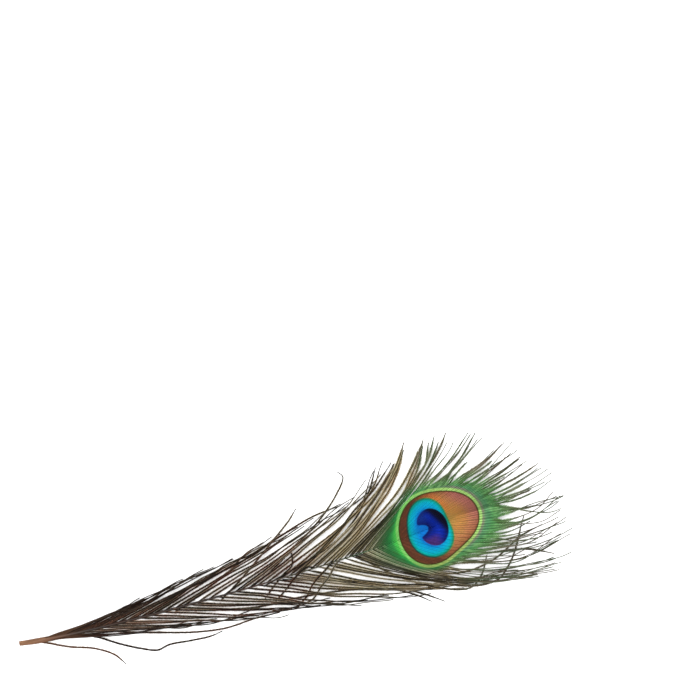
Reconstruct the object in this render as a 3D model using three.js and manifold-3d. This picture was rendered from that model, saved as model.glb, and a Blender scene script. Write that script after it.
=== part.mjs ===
// The eye end of a peacock's train feather, cut short: one grown piece, lying on a surface.
// Units are millimetres. +X runs along the feather from the cut quill to the tip of the eye, and
// +Z is up. The origin is on the flat underside of the quill, 15 mm from its cut end.

import * as THREE from 'three';
import { mergeVertices } from 'three/addons/utils/BufferGeometryUtils.js';
import Module from 'manifold-3d';

// ---------- Driving dimensions: the shaft ----------

// The shaft bends a little to one side and back, seen from above
const SHAFT_LINE = new THREE.CubicBezierCurve3(
  new THREE.Vector3(-15, 1.4, 0),
  new THREE.Vector3(30, -5.8, 0),
  new THREE.Vector3(185, -4, 0),
  new THREE.Vector3(206, 2.1, 0),
);
const SHAFT_CUT_X = -15;
const SHAFT_END_X = 206;
const SHAFT_STEPS = 26;
const SHAFT_SIDES = 8;
const QUILL_RADIUS = 1.25;
const THIN_RADIUS = 0.4;
const THIN_FROM_X = 105;
const SHAFT_END_RADIUS = 0.22;
const THINNING_POWER = 0.7;

// The quill lies flat on the surface, and from here the shaft rises to the eye
const FLAT_UNTIL_X = 24;
const SHAFT_RISE = 2.4;
const RISEN_AT_X = 150;
const FLAT_HEIGHT = 0.75;

// ---------- Driving dimensions: the barbs ----------

// Guide barbs of the two vanes: where each leaves the shaft, the way it sets out, where its tip
// is and the way it arrives there. Angles are in degrees from +X, places are in millimetres.
const LEFT_GUIDES = [
  { root: -6, launch: 7, tipX: 44, tipY: 3.5, arrive: 7 },
  { root: 4, launch: 9, tipX: 60, tipY: 7, arrive: 9 },
  { root: 30, launch: 13, tipX: 108, tipY: 15, arrive: 12 },
  { root: 70, launch: 17, tipX: 158, tipY: 24, arrive: 20 },
  { root: 105, launch: 20, tipX: 181, tipY: 35, arrive: 38 },
  { root: 135, launch: 25, tipX: 195, tipY: 45, arrive: 60 },
  { root: 152, launch: 31, tipX: 211, tipY: 48, arrive: 66 },
  { root: 163, launch: 38, tipX: 225, tipY: 45, arrive: 52 },
  { root: 172, launch: 41, tipX: 238, tipY: 38, arrive: 38 },
  { root: 184, launch: 36, tipX: 252, tipY: 28, arrive: 29 },
  { root: 196, launch: 24, tipX: 262, tipY: 16, arrive: 20 },
  { root: 206, launch: 8, tipX: 268, tipY: 4, arrive: 10 },
];
const RIGHT_GUIDES = [
  { root: -6, launch: -8, tipX: 46, tipY: -9, arrive: -6 },
  { root: 4, launch: -10, tipX: 62, tipY: -12, arrive: -6 },
  { root: 30, launch: -14, tipX: 112, tipY: -19, arrive: -5 },
  { root: 70, launch: -17, tipX: 160, tipY: -25.5, arrive: -8 },
  { root: 105, launch: -19, tipX: 194, tipY: -32, arrive: -7 },
  { root: 135, launch: -25, tipX: 225, tipY: -34, arrive: -7 },
  { root: 152, launch: -32, tipX: 243, tipY: -37.5, arrive: -8 },
  { root: 163, launch: -41, tipX: 257, tipY: -40.6, arrive: -5 },
  { root: 172, launch: -44, tipX: 264, tipY: -31, arrive: 6 },
  { root: 184, launch: -38, tipX: 267, tipY: -18, arrive: 17 },
  { root: 196, launch: -22, tipX: 268, tipY: -7, arrive: 21 },
  { root: 206, launch: 8, tipX: 268, tipY: 4, arrive: 10 },
];
const HANDLE_SHARE = 0.36;

// A barb arches up from the shaft and comes down to the surface; every third tip curls up
const BARB_ARCH = 2.2;
const TIP_HEIGHT = 0.35;
const CURLED_TIP_HEIGHT = 5.5;
const CURL_EVERY = 3;

// ---------- Driving dimensions: locks of loose barbs ----------

const LOOSE_LOCKS_PER_SIDE = 19;
const LOOSE_ROOT_FROM = -4;
const LOOSE_ROOT_TO = 160;
const LOCK_STEPS = 8;
const LOCK_SIDES = 4;
const LOCK_ROOT_WIDTH = 0.7;
const LOCK_WIDTH = 2.9;
const LOCK_TIP_WIDTH = 0.6;
const LOCK_THICKNESS = 0.9;
const LOCK_TIP_THICKNESS = 0.45;
const LOCK_WIDEST_AT = 0.5;

// ---------- Driving dimensions: the close vane round the eye, and its fringe ----------

const EYE_ROOT_FROM = 161;
const EYE_COLUMNS = 26;
const EYE_ROWS = 5;
const EYE_THICKNESS = 0.8;
const EYE_RIDGE = 0.16;
const EYE_OVERLAP = 0.35;
const RIM_SHARE_AT_BASE = 0.5;
const RIM_SHARE_AT_TIP = 0.68;
const RIM_NOTCH = 0.05;

const FRINGE_LOCKS_PER_SIDE = 12;
const FRINGE_ROOT_FROM = 162;
const FRINGE_ROOT_TO = 204;
const FRINGE_FROM_SHARE = 0.4;
const FRINGE_STEPS = 5;
const FRINGE_WIDTH = 2.4;
const FRINGE_WIDEST_AT = 0.3;

// ---------- Materials ----------

const featherMaterial = new THREE.MeshStandardMaterial({
  color: 0x5f5a2c,
  roughness: 0.55,
  metalness: 0.15,
});

// ---------- Curves ----------

const UP = new THREE.Vector3(0, 0, 1);
const HALVINGS = 40;
const TANGENT_STEP = 0.01;

function mix(from, to, share) {
  return from + (to - from) * share;
}

// The shaft's curve parameter at a place along +X, found by halving
function shaftParameter(x) {
  let low = 0;
  let high = 1;
  for (let step = 0; step < HALVINGS; step += 1) {
    const middle = (low + high) / 2;
    if (SHAFT_LINE.getPoint(middle).x < x) {
      low = middle;
    } else {
      high = middle;
    }
  }
  return (low + high) / 2;
}

function shaftRadius(x) {
  const thin = THREE.MathUtils.clamp((x - SHAFT_CUT_X) / (THIN_FROM_X - SHAFT_CUT_X), 0, 1);
  const end = THREE.MathUtils.clamp((x - THIN_FROM_X) / (SHAFT_END_X - THIN_FROM_X), 0, 1);
  return mix(mix(QUILL_RADIUS, THIN_RADIUS, thin ** THINNING_POWER), SHAFT_END_RADIUS, end);
}

function shaftPoint(x) {
  const point = SHAFT_LINE.getPoint(shaftParameter(x));
  const rise = SHAFT_RISE * THREE.MathUtils.smoothstep(x, FLAT_UNTIL_X, RISEN_AT_X);
  point.z = shaftRadius(x) * FLAT_HEIGHT + rise;
  return point;
}

// A value of the guide barbs at any root, on a smooth curve through the guides
function guideValue(guides, name, root) {
  const roots = guides.map((guide) => guide.root);
  const values = guides.map((guide) => guide[name]);
  const interpolant = new THREE.CubicInterpolant(roots, values, 1);
  return interpolant.evaluate(root)[0];
}

function direction(degrees) {
  const angle = THREE.MathUtils.degToRad(degrees);
  return new THREE.Vector3(Math.cos(angle), Math.sin(angle), 0);
}

// One barb as seen from above, and its height added on the way to the tip
function makeBarb(guides, root, tipHeight) {
  const start = shaftPoint(root);
  const tipX = guideValue(guides, 'tipX', root);
  const tipY = guideValue(guides, 'tipY', root);
  const tip = new THREE.Vector3(tipX, tipY, 0);
  const handle = HANDLE_SHARE * Math.hypot(tip.x - start.x, tip.y - start.y);
  const leaving = direction(guideValue(guides, 'launch', root)).multiplyScalar(handle);
  const arriving = direction(guideValue(guides, 'arrive', root)).multiplyScalar(handle);
  const startHeight = start.z;
  start.z = 0;
  const launched = start.clone().add(leaving);
  const landing = tip.clone().sub(arriving);
  const plan = new THREE.CubicBezierCurve3(start, launched, landing, tip);

  return (share) => {
    const point = plan.getPoint(share);
    point.z = mix(startHeight, tipHeight, share ** 2) + 4 * BARB_ARCH * share * (1 - share);
    return point;
  };
}

// ---------- Solids ----------

// A closed tapering bar along a line: a cylinder's points moved to sections square to the line
function sweepBar(line, steps, sides, turn, sectionAt) {
  const geometry = new THREE.CylinderGeometry(1, 1, 1, sides, steps, false, turn);
  const positions = geometry.attributes.position;
  const vertex = new THREE.Vector3();

  for (let index = 0; index < positions.count; index += 1) {
    vertex.fromBufferAttribute(positions, index);
    const share = THREE.MathUtils.clamp(vertex.y + 0.5, 0, 1);
    const centre = line(share);
    const ahead = line(Math.min(share + TANGENT_STEP, 1));
    const behind = line(Math.max(share - TANGENT_STEP, 0));
    const tangent = ahead.sub(behind).normalize();
    const side = new THREE.Vector3().crossVectors(tangent, UP).normalize();
    const over = new THREE.Vector3().crossVectors(side, tangent);
    const { width, thickness } = sectionAt(share);
    const point = centre
      .addScaledVector(side, vertex.x * width / 2)
      .addScaledVector(over, vertex.z * thickness / 2);
    positions.setXYZ(index, point.x, point.y, Math.max(point.z, 0));
  }
  return geometry;
}

// Full width where the barbs are longest, narrow at the root and at the tip
function lockSection(rootWidth, fullWidth, widestAt) {
  return (share) => {
    const opening = THREE.MathUtils.smoothstep(share, 0, widestAt);
    const closing = THREE.MathUtils.smoothstep(share, widestAt, 1);
    return {
      width: mix(mix(rootWidth, fullWidth, opening), LOCK_TIP_WIDTH, closing),
      thickness: mix(LOCK_THICKNESS, LOCK_TIP_THICKNESS, share),
    };
  };
}

function makeShaft() {
  const line = (share) => shaftPoint(mix(SHAFT_CUT_X, SHAFT_END_X, share));
  const section = (share) => {
    const diameter = 2 * shaftRadius(mix(SHAFT_CUT_X, SHAFT_END_X, share));
    return { width: diameter, thickness: diameter };
  };
  return sweepBar(line, SHAFT_STEPS, SHAFT_SIDES, Math.PI / SHAFT_SIDES, section);
}

function makeLooseLocks(guides) {
  const section = lockSection(LOCK_ROOT_WIDTH, LOCK_WIDTH, LOCK_WIDEST_AT);
  return Array.from({ length: LOOSE_LOCKS_PER_SIDE }, (_, index) => {
    const root = mix(LOOSE_ROOT_FROM, LOOSE_ROOT_TO, index / (LOOSE_LOCKS_PER_SIDE - 1));
    const tipHeight = index % CURL_EVERY === 1 ? CURLED_TIP_HEIGHT : TIP_HEIGHT;
    return sweepBar(makeBarb(guides, root, tipHeight), LOCK_STEPS, LOCK_SIDES, 0, section);
  });
}

function makeFringeLocks(guides) {
  const section = lockSection(FRINGE_WIDTH / 2, FRINGE_WIDTH, FRINGE_WIDEST_AT);
  return Array.from({ length: FRINGE_LOCKS_PER_SIDE }, (_, index) => {
    const root = mix(FRINGE_ROOT_FROM, FRINGE_ROOT_TO, index / (FRINGE_LOCKS_PER_SIDE - 1));
    const tipHeight = index % CURL_EVERY === 1 ? CURLED_TIP_HEIGHT : TIP_HEIGHT;
    const barb = makeBarb(guides, root, tipHeight);
    const line = (share) => barb(mix(FRINGE_FROM_SHARE, 1, share));
    return sweepBar(line, FRINGE_STEPS, LOCK_SIDES, 0, section);
  });
}

// Half of the close vane: a thin box whose length follows the roots along the shaft and whose
// width follows the barbs out to the rim, with every other column raised and the rim notched
function makeEyeVane(guides, facing) {
  const geometry = new THREE.BoxGeometry(1, 1, 1, EYE_COLUMNS, EYE_ROWS, 1);
  const positions = geometry.attributes.position;
  const barbs = Array.from({ length: EYE_COLUMNS + 1 }, (_, column) => {
    return makeBarb(guides, mix(EYE_ROOT_FROM, SHAFT_END_X, column / EYE_COLUMNS), TIP_HEIGHT);
  });
  const across = new THREE.Vector3(0, facing, 0);

  for (let index = 0; index < positions.count; index += 1) {
    const along = positions.getX(index) + 0.5;
    const outward = 0.5 + facing * positions.getY(index);
    const column = Math.round(along * EYE_COLUMNS);
    const odd = column % 2;
    const rim = mix(RIM_SHARE_AT_BASE, RIM_SHARE_AT_TIP, along) - odd * RIM_NOTCH;
    const point = barbs[column](outward * rim).addScaledVector(across, (outward - 1) * EYE_OVERLAP);
    point.z += positions.getZ(index) * EYE_THICKNESS + odd * EYE_RIDGE;
    positions.setXYZ(index, point.x, point.y, point.z);
  }
  return geometry;
}

// ---------- Joining ----------

const MERGE_DISTANCE = 1e-4;
const wasm = await Module();
wasm.setup();

function toSolid(geometry) {
  const bare = geometry.clone();
  bare.deleteAttribute('normal');
  bare.deleteAttribute('uv');
  const merged = mergeVertices(bare, MERGE_DISTANCE);
  const mesh = new wasm.Mesh({
    numProp: 3,
    vertProperties: new Float32Array(merged.attributes.position.array),
    triVerts: new Uint32Array(merged.index.array),
  });
  return new wasm.Manifold(mesh);
}

function toGeometry(solid) {
  const mesh = solid.getMesh();
  const geometry = new THREE.BufferGeometry();
  geometry.setAttribute('position', new THREE.BufferAttribute(mesh.vertProperties, 3));
  geometry.setIndex(new THREE.BufferAttribute(mesh.triVerts, 1));
  geometry.computeVertexNormals();
  return geometry;
}

const grownParts = [
  makeShaft(),
  makeEyeVane(LEFT_GUIDES, 1),
  makeEyeVane(RIGHT_GUIDES, -1),
  ...makeLooseLocks(LEFT_GUIDES),
  ...makeLooseLocks(RIGHT_GUIDES),
  ...makeFringeLocks(LEFT_GUIDES),
  ...makeFringeLocks(RIGHT_GUIDES),
];

const solid = grownParts.map(toSolid).reduce((whole, part) => whole.add(part));
const feather = new THREE.Mesh(toGeometry(solid), featherMaterial);
feather.name = 'feather';

const part = new THREE.Group();
part.add(feather);

export default part;
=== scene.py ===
import math

import bmesh
import bpy
import numpy as np
from mathutils import Matrix, Vector


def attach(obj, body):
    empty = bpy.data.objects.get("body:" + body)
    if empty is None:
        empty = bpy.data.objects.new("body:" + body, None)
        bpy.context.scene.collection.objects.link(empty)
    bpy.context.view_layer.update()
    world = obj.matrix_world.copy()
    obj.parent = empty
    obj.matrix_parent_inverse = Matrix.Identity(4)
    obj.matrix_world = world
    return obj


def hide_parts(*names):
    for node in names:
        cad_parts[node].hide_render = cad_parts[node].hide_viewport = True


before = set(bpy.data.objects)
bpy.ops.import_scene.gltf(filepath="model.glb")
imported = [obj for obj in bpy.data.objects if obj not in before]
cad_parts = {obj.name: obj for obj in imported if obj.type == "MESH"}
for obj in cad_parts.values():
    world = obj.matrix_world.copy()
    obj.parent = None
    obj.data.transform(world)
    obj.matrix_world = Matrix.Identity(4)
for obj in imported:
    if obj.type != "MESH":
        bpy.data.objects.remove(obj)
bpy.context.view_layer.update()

# ---------- The shaft ----------
# One tapering shaft of horn: a smooth tan quill that lies flat on the surface, dark brown
# further on, and greenish where it thins into the eye.

MM = 0.001

SHAFT_BEZIER = np.array([(-15.0, 1.4), (30.0, -5.8), (185.0, -4.0), (206.0, 2.1)])
SHAFT_CUT = -15.0
SHAFT_END = 206.0
SHAFT_SIDES = 14
SHAFT_STATIONS = 150
QUILL_RADIUS = 1.25
QUILL_SWELL = 0.3
SWELL_FULL_FROM = -5.0
SWELL_EBBS = (2.0, 30.0)
THINNING_POWER = 0.7
THIN_RADIUS = 0.4
THIN_FROM = 105.0
SHAFT_END_RADIUS = 0.2
SHAFT_RISE = 2.4
RISES = (24.0, 150.0)
FLAT_HEIGHT = 0.75
COVERED = (162.0, 176.0)
COVERED_BY = 0.75
CUT_WALL = 0.42
CUT_DEPTH = 1.1


def smoothstep(low, high, value):
    share = np.clip((value - low) / (high - low), 0.0, 1.0)
    return share * share * (3.0 - 2.0 * share)


def mix(first, second, share):
    return first + (second - first) * share


def bezier(corners, share):
    """Points of a cubic curve; corners are four arrays of places, share runs from 0 to 1."""
    rest = 1.0 - share
    return (
        corners[0] * rest**3
        + corners[1] * 3.0 * rest**2 * share
        + corners[2] * 3.0 * rest * share**2
        + corners[3] * share**3
    )


shaft_table = bezier(SHAFT_BEZIER[:, None, :], np.linspace(0.0, 1.0, 600)[:, None])


def shaft_side(x):
    return np.interp(x, shaft_table[:, 0], shaft_table[:, 1])


def shaft_radius(x):
    thinning = np.clip((x - SHAFT_CUT) / (THIN_FROM - SHAFT_CUT), 0.0, 1.0) ** THINNING_POWER
    ending = np.clip((x - THIN_FROM) / (SHAFT_END - THIN_FROM), 0.0, 1.0)
    swelling = smoothstep(SHAFT_CUT, SWELL_FULL_FROM, x)
    swelling = swelling * (1.0 - smoothstep(*SWELL_EBBS, x))
    plain = mix(mix(QUILL_RADIUS, THIN_RADIUS, thinning), SHAFT_END_RADIUS, ending)
    return plain * (1.0 + QUILL_SWELL * swelling)


def shaft_height(x):
    return shaft_radius(x) * FLAT_HEIGHT + SHAFT_RISE * smoothstep(*RISES, x)


def covered_depth(x):
    """How far the shaft sinks under the close barbs of the eye."""
    return COVERED_BY * smoothstep(*COVERED, x)


def linear(red, green, blue):
    """A colour given as it looks on a screen, 0 to 255, made into light."""
    parts = [channel / 255.0 for channel in (red, green, blue)]
    return tuple(((p + 0.055) / 1.055) ** 2.4 if p > 0.04 else p / 12.92 for p in parts) + (1.0,)


def feed(tree, node, inputs):
    """Give a node its inputs, by name or number; each is a value or another node's socket."""
    for key, value in inputs.items():
        if isinstance(value, bpy.types.NodeSocket):
            tree.links.new(value, node.inputs[key])
        else:
            node.inputs[key].default_value = value


def add_node(tree, kind, *inputs, **settings):
    node = tree.nodes.new(kind)
    for name, value in settings.items():
        setattr(node, name, value)
    feed(tree, node, dict(enumerate(inputs)))
    return node


def sums(tree, operation, *terms):
    """One step of arithmetic on numbers or sockets."""
    return add_node(tree, "ShaderNodeMath", *terms, operation=operation).outputs[0]


def product(tree, value, *others):
    for other in others:
        value = sums(tree, "MULTIPLY", value, other)
    return value


def span(tree, value, low, high, to_low=0.0, to_high=1.0):
    """A value eased from one range into another, and held at both ends."""
    ends = (low, high, to_low, to_high)
    node = add_node(tree, "ShaderNodeMapRange", value, *ends, interpolation_type="SMOOTHSTEP")
    return node.outputs[0]


def blend(tree, share, first, second, way="MIX"):
    """Two colours mixed; each is a socket, or red, green and blue from 0 to 255."""
    node = add_node(tree, "ShaderNodeMix", share, data_type="RGBA", blend_type=way)
    for place, colour in ((6, first), (7, second)):
        feed(tree, node, {place: linear(*colour) if isinstance(colour, tuple) else colour})
    return node.outputs[2]


def ramp(tree, value, stops):
    """Colours set out along a value; the stops are in the value's own units."""
    low, high = stops[0][0], stops[-1][0]
    spread = add_node(tree, "ShaderNodeMapRange", value, low, high)
    node = add_node(tree, "ShaderNodeValToRGB", spread.outputs[0])
    elements = node.color_ramp.elements
    for index, (place, colour) in enumerate(stops):
        share = (place - low) / (high - low)
        if index < 2:
            element = elements[index]
            element.position = share
        else:
            element = elements.new(share)
        element.color = linear(*colour)
    return node.outputs[0]


def grain(tree, place, scale, detail):
    node = add_node(tree, "ShaderNodeTexNoise")
    feed(tree, node, {"Vector": place, "Scale": scale, "Detail": detail})
    return node.outputs["Fac"]


def noise(tree, scale, detail, stretch=(1.0, 1.0, 1.0)):
    """Grey noise on the object's own coordinates, with its grain stretched along an axis."""
    turned = add_node(tree, "ShaderNodeMapping")
    place = add_node(tree, "ShaderNodeTexCoord").outputs["Object"]
    feed(tree, turned, {"Vector": place, "Scale": stretch})
    return grain(tree, turned.outputs[0], scale, detail)


def place_along(tree):
    """The distance along the feather in millimetres, from the object's own coordinates."""
    place = add_node(tree, "ShaderNodeTexCoord").outputs["Object"]
    split = add_node(tree, "ShaderNodeSeparateXYZ", place)
    return product(tree, split.outputs[0], 1.0 / MM)


def new_material(name):
    material = bpy.data.materials.new(name)
    material.use_nodes = True
    tree = material.node_tree
    return material, tree, tree.nodes["Principled BSDF"]


def put_in_scene(name, data):
    """An object for a mesh, a light or a camera, linked into the scene."""
    item = bpy.data.objects.new(name, data)
    bpy.context.scene.collection.objects.link(item)
    return item


def smooth_object(name, mesh):
    """An object for a mesh whose faces are all shaded smooth."""
    mesh.polygons.foreach_set("use_smooth", [True] * len(mesh.polygons))
    return put_in_scene(name, mesh)


def horn_material():
    material, tree, shader = new_material("horn")
    tan_to_green = ramp(tree, place_along(tree), [
        (-15.0, (124, 90, 64)), (-6.0, (106, 74, 52)), (2.0, (84, 58, 42)), (12.0, (46, 33, 26)),
        (24.0, (24, 18, 14)), (72.0, (24, 19, 16)), (110.0, (50, 43, 40)),
        (150.0, (58, 60, 42)), (172.0, (24, 70, 42)), (200.0, (40, 52, 32)),
    ])
    streaks = noise(tree, 900.0, 3.0, (0.05, 1.0, 1.0))
    streaked = span(tree, streaks, 0.35, 0.7, 0.0, 0.55)
    colour = blend(tree, streaked, tan_to_green, (60, 36, 24))
    specks = span(tree, noise(tree, 420.0, 2.0), 0.6, 0.8, 0.0, 0.15)
    bump = add_node(tree, "ShaderNodeBump")
    feed(tree, bump, {"Strength": 0.25, "Distance": 0.00008, "Height": streaks})
    feed(tree, shader, {
        "Base Color": blend(tree, specks, colour, (150, 110, 78)),
        "Roughness": span(tree, streaks, 0.3, 0.7, 0.38, 0.56),
        "Specular IOR Level": 0.15, "Normal": bump.outputs[0]})
    return material


def make_shaft():
    """A straight bar with a hollow in its cut end, bent to the shaft's line and tapered."""
    bm = bmesh.new()
    bmesh.ops.create_cone(
        bm, cap_ends=True, segments=SHAFT_SIDES, radius1=1.0, radius2=1.0, depth=1.0)
    cut_face = min(bm.faces, key=lambda face: face.calc_center_median().z)
    long_edges = [edge for edge in bm.edges if abs(edge.verts[0].co.z - edge.verts[1].co.z) > 0.5]
    bmesh.ops.inset_region(bm, faces=[cut_face], thickness=CUT_WALL, use_even_offset=True)
    hollow = bmesh.ops.extrude_discrete_faces(bm, faces=[cut_face])["faces"][0]
    length = SHAFT_END - SHAFT_CUT
    bmesh.ops.translate(bm, verts=hollow.verts[:], vec=(0.0, 0.0, CUT_DEPTH / length))
    bmesh.ops.subdivide_edges(bm, edges=long_edges, cuts=SHAFT_STATIONS, use_grid_fill=True)
    for vert in bm.verts:
        x = mix(SHAFT_CUT, SHAFT_END, min(max(vert.co.z + 0.5, 0.0), 1.0))
        radius = float(shaft_radius(x))
        before, after = shaft_side(x - 0.5), shaft_side(x + 0.5)
        slope = math.atan2(float(after - before), 1.0)
        across = vert.co.x * radius
        height = float(shaft_height(x) - covered_depth(x)) + vert.co.y * radius
        side = float(shaft_side(x)) + across * math.cos(slope)
        vert.co = Vector((x - across * math.sin(slope), side, max(height, 0.0))) * MM
    bmesh.ops.recalc_face_normals(bm, faces=bm.faces[:])
    mesh = bpy.data.meshes.new("shaft")
    bm.to_mesh(mesh)
    bm.free()
    return smooth_object("shaft", mesh)


shaft = make_shaft()
shaft.data.materials.append(horn_material())
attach(shaft, "root")
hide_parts("feather")

# ---------- The loose barbs ----------
# Below the eye each barb stands alone: a dark rib edged on both sides with short barbules that
# don't hook together. Neighbours cling in clumps.

# Guide barbs, in millimetres and degrees: where each leaves the shaft, the way it sets out, its
# tip (along, across) and the way it arrives there
LEFT_GUIDES = np.array([
    (-6, 7, 44, 3.5, 7), (4, 9, 60, 7, 9), (30, 13, 108, 15, 12), (70, 17, 158, 24, 20),
    (105, 20, 181, 35, 38), (135, 25, 195, 45, 60), (152, 31, 211, 48, 66), (163, 38, 225, 45, 52),
    (172, 41, 238, 38, 38), (184, 36, 252, 28, 29), (196, 24, 262, 16, 20), (206, 8, 268, 4, 10),
], dtype=float)
RIGHT_GUIDES = np.array([
    (-6, -8, 46, -9, -6), (4, -10, 62, -12, -6), (30, -14, 112, -19, -5), (70, -17, 160, -25.5, -8),
    (105, -19, 194, -32, -7), (135, -25, 225, -34, -7), (152, -32, 243, -36.5, -8),
    (163, -41, 257, -39, -5), (172, -44, 264, -31, 6), (184, -38, 267, -18, 17),
    (196, -22, 268, -7, 21), (206, 8, 268, 4, 10),
], dtype=float)
FIRST_GUIDE, LAST_GUIDE = LEFT_GUIDES[0, 0], LEFT_GUIDES[-1, 0]
HANDLE_SHARE = 0.36
BARB_ARCH = 2.2

RIB_STATIONS = 64
RIB_ROOT = 0.34
RIB_ROOT_BY_EYE = 0.28
RIB_TIP = 0.24
RIB_TAPER = 1.3
RIB_SECTION = np.array([(1.0, 0.0), (0.0, 1.15), (-1.0, 0.0), (0.0, -0.8)])

# A barbule: its width at three places along it, the spread of its place, length and lean
# (degrees), its rise (mean, spread) and droop, and how far forward on the barb it is coloured
BARBULE_WIDTHS = ((0.0, 1.0), (0.5, 0.9), (1.0, 0.5))
BARBULE_CORNERS = 2 * len(BARBULE_WIDTHS)
BARBULE_PLACES = (0.1, 0.9)
BARBULE_LENGTHS = (0.8, 1.2)
BARBULE_LEAN_SPREAD = 5.0
BARBULE_EASING = 0.3
BARBULE_RISES = (0.08, 0.08)
BARBULE_DROOP = 0.22
BARBULE_FORWARD = 0.7
BARBULE_LEAST = 0.05
REACH_LEAST = 0.08

# Where the faces of each barb lie across its own strip of the baked colours
STRIP_MARGIN = 0.01
RIB_STRIP = (0.02, 0.05, 0.08, 0.05)
BARBULE_STRIP = 0.55
BARBULE_STRIP_FROM = 0.04
BARBULE_STRIP_SPAN = 0.36

# The middle of the eye and the turn of its long axis, for the markings
EYE_CENTRE = np.array([198.0, 0.8])
EYE_TURN = math.radians(9.0)

LOOSE_SEED = 41
LOOSE_POINTS = 120
LOOSE_FROM = -8.0
LOOSE_PITCH = 0.15
LOOSE_BARBULE = 1.9
LOOSE_ANGLES = (52.0, 38.0)
LOOSE_BLADE = 0.16
LOOSE_TWIST = 30.0
LEFT_CLINGING = 0.85
RIGHT_CLINGING = 0.7
LOWEST = 0.03
HIGHEST = 6.1

# How the loose barbs gather in clumps, and how the tips of a clump lean and lift
UNEVENNESS = 0.38
CLUMP_BARBS = (2, 7)
CLUMP_STRAYS = (-2.5, 2.5)
CLUMP_HOLD = (0.6, 1.0)
CLUMP_FROM = 0.15
CLUMP_CLOSEST = (0.35, 0.85)
CLUMP_OPENING = (0.0, 0.7)
CLUMP_LEAN = 3.2
CLUMP_LIFTS = (0.4, 1.4, 3.0, 5.0)
LIFT_SPREAD = (0.0, 0.8)

# How each barb differs from its clump
ASTRAY = 2.0
ASTRAY_LESS = 1.5
BARB_ENDS = (0.86, 1.0)
WANDER_SIZES = (0.3, 1.6)
WANDER_WAVES = (0.6, 1.6)
WANDER_GROWTH = 1.4
RIPPLE_WAVES, RIPPLE_SIZE = 2.7, 0.4
CURL_LEAN, CURL_SIZE = 0.4, 1.5
CURL_FROM = 0.6

# The barbules' length along a barb: it varies in patches and falls off towards the tip
BARBULES_BEGIN = (-0.03, 0.06)
TIP_FROM = 0.88
TIP_SHORTER_BY = 0.7
FULLNESS = (0.8, 1.25)
PATCH_STARTS = (0.0, 6.3)
PATCH_LEVEL = 0.88
PATCH_DEPTH = 0.2
PATCH_WAVES = 23.0
ROOM_LEAST = 0.2

# Near the eye the barbs stand straighter and more evenly
STRAIGHTER = (125.0, 155.0)
STRAIGHTER_BY = 0.8

# How the barbs stand along the shaft: place, distance to the next barb, and the share of the
# room between them that their barbules fill
LEFT_GAPS = np.array([
    (-8, 1.9, 0.8), (20, 2.6, 0.8), (50, 4.6, 0.65), (80, 6.6, 0.42), (112, 5.6, 0.5),
    (130, 3.7, 0.75), (146, 2.5, 0.9), (161, 1.3, 0.9)])
RIGHT_GAPS = np.array([
    (-8, 2.8, 0.7), (20, 4.8, 0.7), (60, 5.2, 0.6), (100, 4.4, 0.56), (124, 4.4, 0.54),
    (142, 4.2, 0.5), (152, 2.9, 0.6), (161, 1.2, 0.8)])

# The vane is made in two lengths, parted here
BY_EYE_FROM = 112.0
LOOSE_UNTIL = 161.0


def smooth_curve(at, known, wanted):
    """Rows of values known at some places, read at any other places on a smooth curve."""
    index = np.clip(np.searchsorted(at, wanted) - 1, 0, len(at) - 2)
    run = (at[index + 1] - at[index])[..., None]
    share = (wanted - at[index])[..., None] / run
    slopes = np.gradient(known, at, axis=0)
    return (
        known[index] * (1 + 2 * share) * (1 - share) ** 2
        + slopes[index] * run * share * (1 - share) ** 2
        + known[index + 1] * share**2 * (3 - 2 * share)
        + slopes[index + 1] * run * share**2 * (share - 1)
    )


def headings(degrees):
    angle = np.radians(degrees)
    return np.stack([np.cos(angle), np.sin(angle)], axis=-1)


def vane_points(guides, roots, shares, tip_heights):
    """Places on the vane, in millimetres: roots along the shaft, shares along the barbs."""
    roots = np.broadcast_to(roots, shares.shape)
    values = smooth_curve(guides[:, 0], guides[:, 1:], roots)
    leaving, tip, arriving = values[..., 0], values[..., 1:3], values[..., 3]
    start = np.stack([roots, shaft_side(roots)], axis=-1)
    handle = HANDLE_SHARE * np.linalg.norm(tip - start, axis=-1, keepdims=True)
    corners = (start, start + headings(leaving) * handle, tip - headings(arriving) * handle, tip)
    plan = bezier(corners, shares[..., None])
    height = mix(shaft_height(roots), tip_heights, shares**2)
    height = height + 4.0 * BARB_ARCH * shares * (1.0 - shares)
    return np.concatenate([plan, height[..., None]], axis=-1)


def length_along(path):
    steps = np.linalg.norm(np.diff(path, axis=0), axis=1)
    return np.concatenate([[0.0], np.cumsum(steps)])


def unit(vectors):
    return vectors / np.maximum(np.linalg.norm(vectors, axis=-1, keepdims=True), 1e-9)


def read_rows(places, known, rows):
    """Each column of the rows read at the places, on straight lines."""
    return np.stack([np.interp(places, known, column) for column in rows.T], axis=1)


def spread_out(path, count_or_places):
    """A barb's points, headings, leftward and upward directions and shares of its length."""
    lengths = length_along(path)
    places = count_or_places
    if np.isscalar(places):
        places = np.linspace(0.0, lengths[-1], places)
    points = read_rows(places, lengths, path)
    heading = unit(read_rows(places, lengths, unit(np.gradient(path, lengths, axis=0))))
    left = unit(np.stack([-heading[:, 1], heading[:, 0], np.zeros(len(places))], axis=1))
    return points, heading, left, np.cross(heading, left), places / lengths[-1]


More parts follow.
